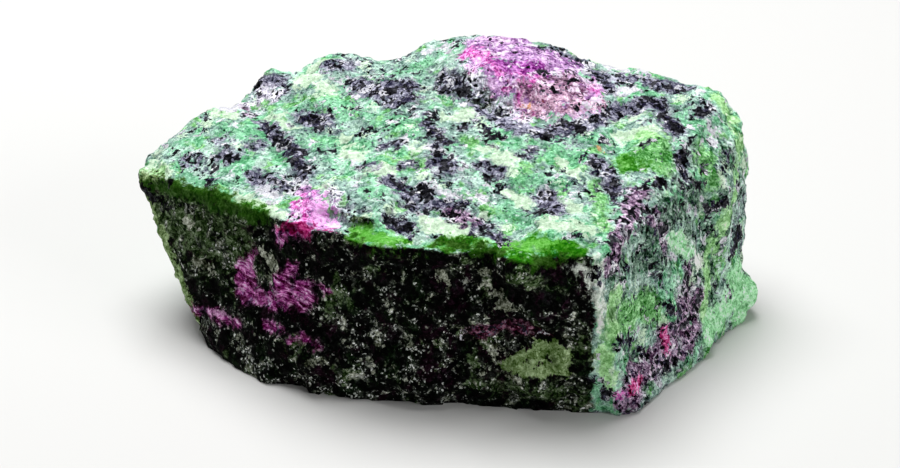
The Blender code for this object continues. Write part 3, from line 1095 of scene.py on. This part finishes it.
class Paint:
    """The surface so far. A mineral has a colour as a screen shows it, a fleck, which says
    how much lighter and darker its grains are, and specks, which says how readily black
    and white grains show in it."""

    def __init__(self, recipe, mineral):
        self.recipe = recipe
        self.colour, self.fleck, self.specks = mineral

    def lay(self, mineral, mask):
        """Covers the surface with the mineral where the mask is 1."""
        colour, fleck, specks = mineral
        self.colour = self.recipe.blend(self.colour, colour, mask)
        self.fleck = self.recipe.between(self.fleck, fleck, mask)
        self.specks = self.recipe.between(self.specks, specks, mask)

    def cover(self, other, mask):
        """Covers the surface with another paint where the mask is 1."""
        self.lay((other.colour, other.fleck, other.specks), mask)

    def base_colour(self, grain):
        """The colour plus fleck * grain in all three channels, kept from 0 to the white of
        chalk, and then taken from a screen's numbers to those of light."""
        shown = self.recipe.vectors("ADD", self.colour, self.fleck * grain)
        shown = self.recipe.vectors("MAXIMUM", shown, (0.0,) * 3)
        shown = self.recipe.vectors("MINIMUM", shown, (CHALK,) * 3)
        return self.recipe.node("Gamma", {}, {0: shown, 1: SCREEN_GAMMA})


# %% [markdown]
# ## The colours of the rock
# Within one mineral the grains differ in how light they are much more than in hue, as the
# light falls on each at its own angle. So a mineral needs only one colour and a number for
# how strongly it is flecked. Colour is then laid on in soft zones and the flecks are crisp,
# which is how a rock looks.

# %% Minerals
def mineral(red, green, blue, fleck, specks):
    """A colour as a screen shows it, its fleck, and its specks: 0 gives as many black and
    white grains as plain green rock has, and -1.5 gives none."""
    return (red, green, blue, 1.0), fleck, specks


MINT = mineral(0.54, 0.66, 0.62, 0.125, 0.0)
FRESH = mineral(0.53, 0.76, 0.62, 0.110, -0.2)
EMERALD = mineral(0.43, 0.70, 0.52, 0.125, -0.1)
LEAF = mineral(0.46, 0.70, 0.44, 0.125, -0.3)
DEEP = mineral(0.35, 0.46, 0.39, 0.150, 0.3)
PALE = mineral(0.70, 0.82, 0.76, 0.100, -0.3)
GREY = mineral(0.48, 0.53, 0.55, 0.150, 0.3)
CREAM = mineral(0.76, 0.86, 0.75, 0.075, -1.0)
WHITE = mineral(0.80, 0.80, 0.83, 0.090, -0.6)
SMOKY = mineral(0.49, 0.49, 0.56, 0.165, 0.6)
ASH = mineral(0.84, 0.82, 0.89, 0.200, 0.2)
SLATE = mineral(0.29, 0.28, 0.36, 0.150, 0.7)
LILAC = mineral(0.60, 0.50, 0.60, 0.190, 0.6)
DULL = mineral(0.29, 0.12, 0.20, 0.200, 0.4)
BLACK = mineral(0.11, 0.11, 0.13, 0.100, 0.0)
VIOLET = mineral(0.65, 0.48, 0.69, 0.160, 0.2)
ROSE = mineral(0.82, 0.67, 0.84, 0.120, -0.2)
PINK = mineral(0.80, 0.36, 0.68, 0.160, -0.6)
PURPLE = mineral(0.55, 0.25, 0.56, 0.150, -0.2)
DUSTY = mineral(0.60, 0.46, 0.56, 0.170, 0.2)
SALMON = mineral(0.79, 0.64, 0.73, 0.160, 0.0)
FROST = mineral(0.88, 0.80, 0.89, 0.080, -0.6)
WINE = mineral(0.62, 0.16, 0.40, 0.130, -1.5)
GARNET = mineral(0.36, 0.11, 0.28, 0.110, -1.5)
MAGENTA = mineral(0.70, 0.34, 0.62, 0.190, -1.5)
THREAD = mineral(0.88, 0.66, 0.84, 0.150, -1.5)
CRIMSON = mineral(0.88, 0.38, 0.62, 0.200, -0.2)
# Pale pink: a painted glow on the ruby lump, and the colour of the ruby's pale veins.
PALE_PINK_AND_GLOW = mineral(0.97, 0.71, 0.95, 0.110, -1.2)
RUST = mineral(0.80, 0.56, 0.38, 0.080, -1.0)
LIME = mineral(0.17, 0.44, 0.05, 0.060, -1.2)
# Painted light: the lime lip where light would shine through its thin edge.
LIT_THROUGH_LIME = mineral(0.39, 0.68, 0.29, 0.060, -1.2)
VERDANT = mineral(0.38, 0.63, 0.36, 0.160, -0.1)
# Moss green: dark green mica and painted shade at the lip's foot.
MOSS_AND_SHADE = mineral(0.16, 0.29, 0.08, 0.055, -1.2)
APPLE = mineral(0.63, 0.84, 0.58, 0.110, -0.8)
JADE = mineral(0.66, 0.92, 0.69, 0.110, -0.7)
MILK = mineral(0.93, 0.97, 0.92, 0.120, -0.6)
# Apple green darkened for the front: partly painted shade.
SHADED_APPLE = mineral(0.48, 0.58, 0.38, 0.140, -1.5)
# The front's near-black: dark rock, darkened further as painted shade.
NIGHT = mineral(0.030, 0.035, 0.030, 0.045, -1.5)
FOREST = mineral(0.03, 0.08, 0.02, 0.050, -1.5)
PLUM = mineral(0.08, 0.02, 0.06, 0.050, -1.5)
DUSK = mineral(0.12, 0.14, 0.11, 0.150, -1.5)
OLIVE = mineral(0.23, 0.30, 0.18, 0.150, -1.5)
DOVE = mineral(0.50, 0.52, 0.46, 0.200, -1.5)
# Pale grains, partly painted glints of the amphibole.
PALE_GRAIN_AND_GLINT = mineral(0.80, 0.82, 0.80, 0.150, -1.5)
print("Pink ruby is", PINK[0][:3], "and mint green rock is", MINT[0][:3])

# %% [markdown]
# ## The patterns that all layers share
# Rock has structure at every size, so all the layers are built on the same few patterns.
# Shards are broken crystals from Voronoi cells, of three sizes from a millimetre to a fifth
# of one. Each has numbers of its own, which decide how light it is and whether it is black.
# The big ones are warped strongly, which frays them, and the small ones hardly, which keeps
# them crisp like sugar. Sharing the patterns keeps the outlines of neighbouring minerals
# fitted to each other, as real grains are. Three sums of patterns, in millimetres, say how
# far an outline strays: fray for single grains, wander for soft outlines and ragged for
# broken ones.

# %% Patterns
ZONE_SHAPE = (0.95, 1.05, 0.60)
SHARD_SHAPE = (0.95, 1.05, 0.85)
UPRIGHT_SHAPE = (0.75, 0.75, 0.16)
FIBRE_SHAPE = (0.40, 0.40, 2.10)
SWIRL_SCALE = 0.9
WARP = 2.2
SMALL_WARP = 0.8
SWAY_SCALE = 0.15
SWAY = 5.0


def patterns(r):
    """The place of each point in millimetres, turned so that X and Z lie in the rock's
    layers, and the patterns on it. Their scales are in cells to the millimetre."""
    spot = r.node("TexCoord", out="Object")
    across = {"Vector": spot, "Rotation": (0.0, 0.0, -LAYER_TURN), "Scale": (1 / MM,) * 3}
    place = r.node("Mapping", {}, across)
    swirling = {"Vector": place, "Scale": SWIRL_SCALE, "Detail": 3.0}
    swirl = r.node("TexNoise", {}, swirling, out="Color")
    sway = r.node("TexNoise", {}, {"Vector": place, "Scale": SWAY_SCALE}, out="Color")
    frayed = r.shaped(r.warped(place, swirl, WARP), SHARD_SHAPE)
    crisp = r.shaped(r.warped(place, swirl, SMALL_WARP), SHARD_SHAPE)
    swayed = r.warped(place, sway, SWAY)
    zoned = r.shaped(place, ZONE_SHAPE)
    big = r.shards(frayed, scale=0.95)
    small = r.shards(crisp, scale=2.2)
    tiny = r.shards(crisp, scale=4.6)
    patch = r.noise(zoned, scale=0.8, detail=4.0, rough=0.7)
    speck = r.noise(place, scale=1.9, detail=3.0, rough=0.65)
    grit = r.noise(place, scale=4.2)
    return {
        "zoned": zoned,
        "big": big,
        "small": small,
        "tiny": tiny,
        "patch": patch,
        "wide": r.noise(zoned, scale=0.16, detail=3.0),
        "fibre": r.noise(r.shaped(swayed, FIBRE_SHAPE), scale=1.1),
        "upright": r.noise(r.shaped(swayed, UPRIGHT_SHAPE), scale=0.30, detail=4.0),
        "zone": r.noise(zoned, scale=0.28, detail=3.0),
        "other": r.noise(zoned, scale=0.40, detail=4.0, rough=0.7),
        "coarse": r.noise(place, scale=0.35, detail=4.0, rough=0.7),
        "grain": 0.45 * big[0] + 0.50 * small[0] + 0.40 * tiny[0] + 0.35 * speck + 0.15 * grit,
        "height": 0.4 * patch + 0.4 * speck + 0.2 * grit,
        "end": r.step(r.field("end") + 0.2 * patch, -0.3, 0.5),
        "fray": 0.10 * speck + 0.06 * grit,
        "wander": 0.45 * patch,
        "ragged": 0.30 * patch + 0.26 * big[1] + 0.20 * small[1],
    }


# %% [markdown]
# The green ground is grey green, with zones of fresh mint green, emerald, pale green and
# grey that are a few millimetres wide and melt into each other. On the blunt end the zones
# are drawn out upright. Lemon-white grains are strewn over it all, from Voronoi cells where
# only a share of the cells holds a grain.

# %% The green ground
CREAM_CELLS = 0.36
CREAM_SHARE = 0.30
CREAM_RADIUS = 0.30


def green_ground(r, n):
    """Each zone is laid where a sum of patterns is high, or where it is low."""
    paint = Paint(r, MINT)
    on_end = n["end"]
    paint.lay(FRESH, r.step(n["wide"] + 0.4 * n["zone"] + 0.3 * n["patch"], -0.1, 1.2))
    paint.lay(GREY, r.step(n["zone"] - 0.5 * n["wide"] + 0.3 * n["patch"], 0.6, 1.7))
    paint.lay(LEAF, r.step(0.0 - n["zone"] - 0.6 * n["other"] + 0.3 * n["patch"], 0.6, 1.8))
    paint.lay(DEEP, on_end * r.step(n["upright"] + 0.4 * n["patch"], 0.2, -1.0))
    paint.lay(PALE, r.step(n["other"] + 0.3 * n["patch"], 0.2, 1.3))
    paint.lay(PALE, on_end * r.step(n["upright"] + 0.4 * n["patch"], 0.9, 1.8))
    paint.lay(EMERALD, r.step(0.0 - n["other"] + 0.6 * n["wide"], 1.1, 2.0))
    paint.lay(EMERALD, 0.8 * r.step(r.field("emerald") + 1.5 * n["wander"], -0.6, 1.2))
    paint.lay(CREAM, r.grains(n["zoned"], CREAM_CELLS, CREAM_SHARE, CREAM_RADIUS, n["fray"]))
    return paint


# %% [markdown]
# The dark front is nearly black, partly its own dark rock and partly painted shade, with a
# breath of green or plum in places, and greyer in zones. Its left part is olive. Pale crumbs
# of three sizes lie in it, which are crystals picked by their own numbers, some dim and some
# bright, and they crowd along its foot. They are pale grains, and the brightest are partly
# painted glints.

# %% The dark front's colours
def dark_and_shaded_front(r, n):
    """Zones first, then crumbs: a crystal shows by how far its number, plus the crowd
    there, passes a limit."""
    coarse = n["coarse"]
    # The front's near-black zones are its dark rock, darkened further as painted shade.
    paint = Paint(r, NIGHT)
    paint.lay(FOREST, r.step(n["other"], 0.2, 1.3))
    paint.lay(PLUM, r.step(n["other"], -0.4, -1.5))
    paint.lay(OLIVE, r.step(r.field("olive") + 0.6 * n["patch"] + 1.2 * coarse, -1.0, 2.0))
    paint.lay(DUSK, r.step(coarse + 0.4 * n["patch"], 0.0, 1.2))
    paint.lay(OLIVE, r.step(n["zone"] + 0.5 * coarse, 1.1, 2.2))
    crowd = 0.22 * coarse + 0.16 * n["patch"] + 0.12 * r.step(r.field("crumbs"), -1.5, 1.5)
    paint.lay(DOVE, r.step(n["big"][2] + crowd, 1.60, 2.10))
    paint.lay(DOVE, r.step(n["small"][2] + crowd, 1.42, 2.00))
    # Painted glints: the finest, brightest crumbs are pale grains and partly glints.
    paint.lay(PALE_GRAIN_AND_GLINT, r.step(n["tiny"][2] + crowd, 1.42, 2.00))
    paint.lay(DOVE, r.step(r.field("dove") + n["ragged"], -0.1, 0.2))
    return paint


# %% [markdown]
# The placed minerals follow. Each is laid over the last where its field is deeper than a
# limit that wanders, so that its outline is as ragged as the real one. Lime and verdant
# are paints of their own first, as they turn clear, moss green or shaded inside.

# %% The placed minerals
PLACED = (
    ("deep", DEEP, 1.0, "all over"),
    ("leaf", LEAF, 0.5, "all over"),
    ("cream", CREAM, 0.3, "off the front"),
    ("cream", MILK, 0.3, "on the end"),
    ("white", WHITE, 0.3, "off the front"),
    ("rim", MILK, 0.5, "nearly"),
    ("smoky", SMOKY, 0.6, "off the front"),
    ("ash", ASH, 0.6, "off the front"),
    ("lilac", LILAC, 0.5, "off the front"),
    # The front's rows lay darker copies: partly the minerals' own colour, partly the front's
    # painted shade.
    ("lilac", DULL, 0.5, "on the front"),
    ("apple", APPLE, 0.4, "off the front"),
    ("apple", SHADED_APPLE, 0.2, "on the front"),
    ("jade", JADE, 0.6, "all over"),
)
print("Placed in this order:", ", ".join(name for name, *_ in PLACED))


def lay_minerals(r, n, paint, is_front):
    """Each row of the table above: a field, the mineral, how soft its edge is in
    millimetres, and where it is laid."""
    edge = 0.6 * n["wander"] + 0.3 * n["ragged"]
    off_front = 1 - is_front
    where = {
        "all over": 1.0,
        "nearly": 0.9,
        "on the front": is_front,
        "off the front": off_front,
        "on the end": n["end"] * off_front,
    }

    def placed(name, softness):
        """A mask of a field, with an edge that wanders."""
        return r.step(r.field(name) + edge, -softness, softness)

    for name, tone, softness, part in PLACED:
        paint.lay(tone, placed(name, softness) * where[part])
    verdant = Paint(r, VERDANT)
    # Painted shade: part of the verdant crystal is darkened towards lime green.
    verdant.lay(LIME, 0.6 * r.step(r.field("shaded") + 2 * n["wander"], -0.8, 0.8))
    paint.cover(verdant, placed("verdant", 0.5))
    lime = Paint(r, LIME)
    # Painted light: the lip is brighter where light would shine through its thin edge.
    lime.lay(LIT_THROUGH_LIME, r.step(r.field("clear") + 1.5 * n["wander"], -0.8, 0.6))
    # Painted shade: the lip turns moss green where it faces the front.
    lime.lay(MOSS_AND_SHADE, r.step(r.field("front") + 0.3 * n["patch"], 0.0, 1.5))
    paint.cover(lime, placed("lime", 0.5))
    # Moss green along the lip's foot: dark green mica and painted shade.
    paint.lay(MOSS_AND_SHADE, placed("moss", 0.6))


# %% [markdown]
# Ruby lies over the rest. It goes from violet to rose, dusty, salmon, pink or purple along
# fields of their own, has frosty grains, and is paler along thin veins where it is pink. At
# the right of the lump on the front edge it has a painted glow. On the blunt end it is
# crimson. On the dark front it is darker, partly as the front's painted shade, and silky
# along its fibres.

# %% The ruby's colours
def lay_ruby(r, n, paint, is_front):
    """The tints are laid in a paint of their own, which then covers the stone where the
    ruby field is deeper than a ragged limit."""
    soft, crisp = n["wander"], n["ragged"]
    # On the front the ruby is darker: partly its own colour, partly the front's painted shade.
    dim = r.step(r.field("front") + n["patch"], 0.5, 1.5)
    silk = n["fibre"] + 0.5 * crisp
    ruby = Paint(r, VIOLET)
    ruby.lay(ROSE, r.step(n["zone"] + 0.7 * n["patch"], -0.4, 1.0))
    ruby.lay(DUSTY, r.step(r.field("dusty") + 2 * soft, -0.8, 0.8))
    ruby.lay(SALMON, r.step(r.field("salmon") + 2 * soft, -0.8, 0.8))
    ruby.lay(PINK, r.step(r.field("pink") + 1.5 * soft, -0.6, 0.6))
    ruby.lay(PURPLE, r.step(r.field("purple") + 1.5 * soft, -0.6, 0.6))
    frost = 0.6 * n["big"][1] + 0.8 * n["small"][1] + 0.4 * n["other"]
    ruby.lay(FROST, r.step(frost, 1.3, 1.45))
    # Painted light: a pale glow at the right of the ruby lump.
    ruby.lay(PALE_PINK_AND_GLOW, r.step(r.field("glow") + 1.5 * soft, -0.6, 0.6))
    veins = r.node("Math", {"operation": "ABSOLUTE"}, {0: n["zone"] + 0.7 * n["patch"]})
    # Paler veins where the ruby is pink, in the same pale pink.
    ruby.lay(PALE_PINK_AND_GLOW, 0.8 * r.step(veins, 0.35, 0.10) * r.step(r.field("pink"), -1.0, 0.5))
    ruby.lay(CRIMSON, n["end"])
    ruby.lay(MAGENTA, dim)
    ruby.lay(GARNET, dim * r.step(silk, 0.2, -0.9))
    ruby.lay(THREAD, dim * r.step(silk, 1.1, 1.7))
    ruby.lay(THREAD, r.step(r.field("thread") + 0.5 * crisp, -0.1, 0.1))
    ruby.lay(WINE, r.step(r.field("wine") + soft, -0.4, 0.4))
    melt = 0.3 + 0.3 * is_front
    ragged = 0.5 * soft + (0.6 - 0.3 * is_front) * crisp
    paint.cover(ruby, r.step(r.field("ruby") + ragged, 0.0 - melt, melt))
    paint.lay(RUST, 0.8 * r.step(r.field("rust") + soft, -0.1, 0.3))


# %% [markdown]
# Black amphibole is laid on last. Its clots are placed, and are made of whole crystals, so
# that their outlines break up as real ones do. Small black and white grains and slate grey
# dust are picked by their own numbers, more of them in the smoky mixtures and hardly any
# in the clear greens.

# %% Black and white grains
def lay_grains(r, n, paint, is_front):
    """A clot is slate grey at its edge, or black on the front, and black at its core. A
    grain shows where its own number, plus how readily grains show there, passes a limit."""
    big, small = n["big"], n["small"]
    clots = r.field("black") + n["ragged"]
    cores = r.step(clots + 0.3 * small[0], 0.55, 0.75)
    clots = r.step(clots, 0.1, 0.3)
    paint.lay(SLATE, clots)
    # On the front, clot edges take the front's near-black, which is partly painted shade.
    paint.lay(NIGHT, clots * is_front)
    dirt = paint.specks + 0.22 * n["zone"]
    whites = r.step(big[1] + 0.25 * n["other"] + 0.5 * paint.specks, 1.54, 1.62)
    dust = r.step(n["tiny"][2] + 0.6 * paint.specks + 0.2 * n["patch"], 1.35, 1.55)
    blacks = r.step(big[2] + dirt, 1.68, 1.76)
    crumbs = r.step(small[2] + dirt, 1.60, 1.70)
    paint.lay(WHITE, whites)
    paint.lay(SLATE, 0.8 * dust)
    for mask in (blacks, crumbs, cores):
        paint.lay(BLACK, mask)


# %% [markdown]
# The finish puts the coats together. The hollows between the broken crystals are darkened
# with painted shade. A break is dull, with little mirror shine, and its light grains are a
# touch smoother than its dark ones. A faint bump adds grit that is finer than the squares
# of the skin.

# %% The finish of the stone
PAINTED_HOLLOW_SHADE = 0.25
END_CONTRAST = 0.35
ROUGHNESS = 0.62
GLINT = 0.04
SHINE = 0.02
GRIT_STRENGTH = 0.4
GRIT_DEPTH = 0.10 * MM


def stone_finish():
    """The base colour is the paint with its grain, which is stronger on the blunt end."""
    r = Recipe("ruby_in_fuchsite")
    n = patterns(r)
    is_front = r.step(r.field("front") + 0.7 * n["ragged"], -0.3, 0.4)
    paint = green_ground(r, n)
    paint.cover(dark_and_shaded_front(r, n), is_front)
    for lay_coats in (lay_minerals, lay_ruby, lay_grains):
        lay_coats(r, n, paint, is_front)
        print(f"After {lay_coats.__name__}: {len(r.tree.nodes)} nodes")
    # Painted shade: the low parts of the relief are darkened towards black.
    paint.lay(BLACK, PAINTED_HOLLOW_SHADE * r.step(r.field("hollow"), -0.05, -0.30))
    bump = {"Strength": GRIT_STRENGTH, "Distance": GRIT_DEPTH, "Height": n["height"]}
    return r.finish({
        "Base Color": paint.base_colour(n["grain"] * (1 + END_CONTRAST * n["end"])),
        "Roughness": ROUGHNESS - GLINT * n["grain"],
        "Normal": r.node("Bump", {}, bump),
        "Specular IOR Level": SHINE,
    })


stone.data.materials.append(stone_finish())

# %% [markdown]
# ## The floor
# The stone lies on a plain pale floor, which shows its outline and takes its shadow. One
# square is enough, as it is far wider than the view.

# %% Floor
FLOOR_SIZE = 4.0
FLOOR_COLOUR = (0.65, 0.65, 0.64, 1.0)
FLOOR_ROUGHNESS = 0.8


def add_floor():
    """One large square at height 0."""
    half = FLOOR_SIZE / 2 / MM
    corners = np.array(((-half, -half, 0), (half, -half, 0), (half, half, 0), (-half, half, 0)))
    floor = new_mesh("floor", corners, [(0, 1, 2, 3)])
    sockets = {"Base Color": FLOOR_COLOUR, "Roughness": FLOOR_ROUGHNESS}
    floor.data.materials.append(Recipe("pale_floor").finish(sockets))


add_floor()

# %% [markdown]
# ## The light
# One wide soft light hangs over the stone, a little behind it, so that the top is bright
# and the front falls into shade. A weak light from the front right keeps the front and the
# blunt end readable. Wide lights make soft shadows, and a hard one would hide the grain.

# %% Lights
WORLD_WHITE = (1.0, 1.0, 1.0, 1.0)
WORLD_STRENGTH = 0.15


def add_light(name, place, size, power):
    """A square light at a place, turned to face the stone."""
    lamp = bpy.data.lights.new(name, "AREA")
    lamp.size = size
    lamp.energy = power
    light = bpy.data.objects.new(name, lamp)
    light.location = place
    light.rotation_euler = (Vector(place) - LOOK_AT).to_track_quat("Z", "Y").to_euler()
    bpy.context.scene.collection.objects.link(light)
    print(f"{name}: {power} W, {(Vector(place) - LOOK_AT).length:.2f} m from the stone")


add_light("overhead", place=(-0.08, 0.16, 0.55), size=0.40, power=4.9)
add_light("right_fill", place=(0.55, -0.35, 0.30), size=0.35, power=1.6)
world = bpy.data.worlds.new("studio")
world.use_nodes = True
background = world.node_tree.nodes["Background"].inputs
background["Color"].default_value = WORLD_WHITE
background["Strength"].default_value = WORLD_STRENGTH
bpy.context.scene.world = world
bpy.context.scene.view_settings.view_transform = "Standard"
